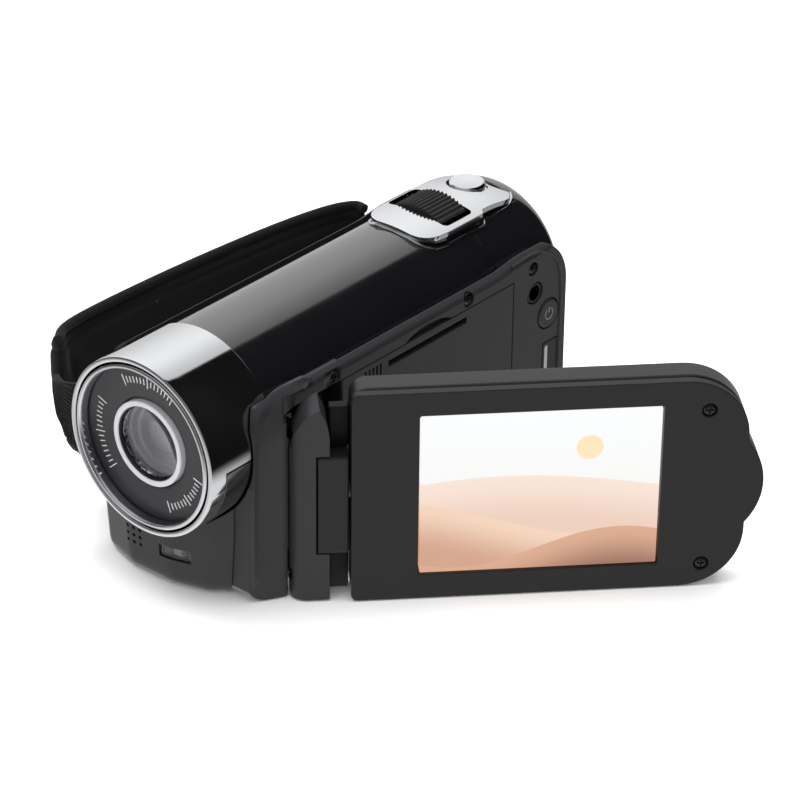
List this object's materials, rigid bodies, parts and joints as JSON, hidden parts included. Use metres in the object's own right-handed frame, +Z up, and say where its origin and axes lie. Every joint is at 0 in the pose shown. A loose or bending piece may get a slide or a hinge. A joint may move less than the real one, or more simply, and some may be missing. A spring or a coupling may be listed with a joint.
{
  "type": "camcorder",
  "caption": "Palm-size camcorder with a barrel lens, a flip-out turning screen, a bright top plate with zoom rocker and shutter button, and a padded hand strap.",
  "frame": {"origin": "middle of the flat base, under the lens axis", "axes": "-Y is the way the lens looks, +X is the screen side, +Z is up"},
  "size_m": [0.1273, 0.1132, 0.0562],
  "materials": {
    "gloss_black": "piano-gloss moulded ABS",
    "satin_black": "fine-textured moulded ABS",
    "matte_black": "matt moulded plastic",
    "chrome": "bright plated plastic",
    "steel": "plain steel",
    "brass": "plain brass",
    "charcoal": "satin charcoal disc",
    "lens_glass": "coated glass",
    "screen": "display panel",
    "board": "circuit board",
    "fabric": "padded neoprene and nylon",
    "label": "wrapped battery cell",
    "red": "red cap"
  },
  "bodies": {
    "root": {"lens_shroud": "chrome", "lens_trim_ring": "chrome", "lens_inner_ring": "chrome", "control_plate": "chrome", "front_collar": "gloss_black", "barrel_cover": "gloss_black", "rear_cap": "gloss_black", "lens_face_plate": "charcoal", "image_sensor": "charcoal", "front_lens": "lens_glass", "rear_lens": "lens_glass", "status_lamp": "lens_glass", "lamp_window": "lens_glass", "lens_holder": "matte_black", "bottom_cover": "matte_black", "control_frame": "matte_black", "speaker": "matte_black", "sensor_board": "board", "main_board": "board", "body_right_shell": "satin_black", "body_left_shell": "satin_black", "front_lower_cover": "satin_black", "tripod_nut": "brass", "battery_contacts": "brass", "av_jack": "steel", "usb_socket": "steel", "side_screw_front": "steel", "side_screw_middle": "steel", "side_screw_rear": "steel", "zoom_shaft": "steel", "zoom_spring": "steel", "shutter_spring": "steel", "card_socket": "steel", "microphone": "steel", "hinge_pin": "steel", "hinge_bracket": "steel", "strap_lug_front": "steel", "strap_lug_rear": "steel", "battery": "label", "lamp_led": "screen", "strap_pad": "fabric", "strap_webbing": "fabric"},
    "lcd_arm": {"hinge_column": "satin_black", "hinge_bush_lower": "brass", "hinge_bush_upper": "brass", "swivel_block": "satin_black", "swivel_shaft": "steel"},
    "lcd_panel": {"lcd_bezel": "satin_black", "lcd_back_shell": "gloss_black", "lcd_display": "screen", "lcd_screw_upper": "steel", "lcd_screw_lower": "steel"},
    "zoom": {"zoom_lever": "matte_black"},
    "shutter": {"shutter_button": "chrome"},
    "record": {"record_button": "red"},
    "menu": {"menu_button": "satin_black"},
    "nav": {"nav_pad": "satin_black"},
    "power": {"power_button": "satin_black"},
    "door": {"battery_door": "satin_black"},
    "port": {"port_cover": "matte_black"}
  },
  "joints": [
    {"name": "lcd_open", "type": "hinge", "parent": "root", "child": "lcd_arm", "pos_m": [0.0241, -0.0331, 0.024], "axis": [0, 0, -1], "range_deg": [-43.5, 46.5]},
    {"name": "lcd_swivel", "type": "hinge", "parent": "lcd_arm", "child": "lcd_panel", "pos_m": [0.02424, -0.03324, 0.0239], "axis": [-0.6884, -0.7254, 0], "range_deg": [0, 30]},
    {"name": "zoom_turn", "type": "hinge", "parent": "root", "child": "zoom", "pos_m": [0, 0.0325, 0.0442], "axis": [0, 1, 0], "range_deg": [-6, 6], "stiffness_Nm_per_rad": 0.05},
    {"name": "shutter_press", "type": "slide", "parent": "root", "child": "shutter", "axis": [0, 0, -1], "range_m": [0, 0.0008], "stiffness_N_per_m": 600},
    {"name": "record_press", "type": "slide", "parent": "root", "child": "record", "axis": [0, -1, 0], "range_m": [0, 0.0008], "stiffness_N_per_m": 600},
    {"name": "menu_press", "type": "slide", "parent": "root", "child": "menu", "axis": [0, -1, 0], "range_m": [0, 0.0005], "stiffness_N_per_m": 600},
    {"name": "nav_press", "type": "slide", "parent": "root", "child": "nav", "axis": [0, -1, 0], "range_m": [0, 0.0005], "stiffness_N_per_m": 600},
    {"name": "power_press", "type": "slide", "parent": "root", "child": "power", "axis": [-1, 0, 0], "range_m": [0, 0.0005], "stiffness_N_per_m": 600},
    {"name": "battery_door_tilt", "type": "hinge", "parent": "root", "child": "door", "pos_m": [0.019, 0.0095, 0.0077], "axis": [0, 1, 0], "range_deg": [0, 20]},
    {"name": "port_cover_open", "type": "hinge", "parent": "root", "child": "port", "pos_m": [0.0193, 0.0476, 0.016], "axis": [0, 0, -1], "range_deg": [0, 110]}
  ]
}
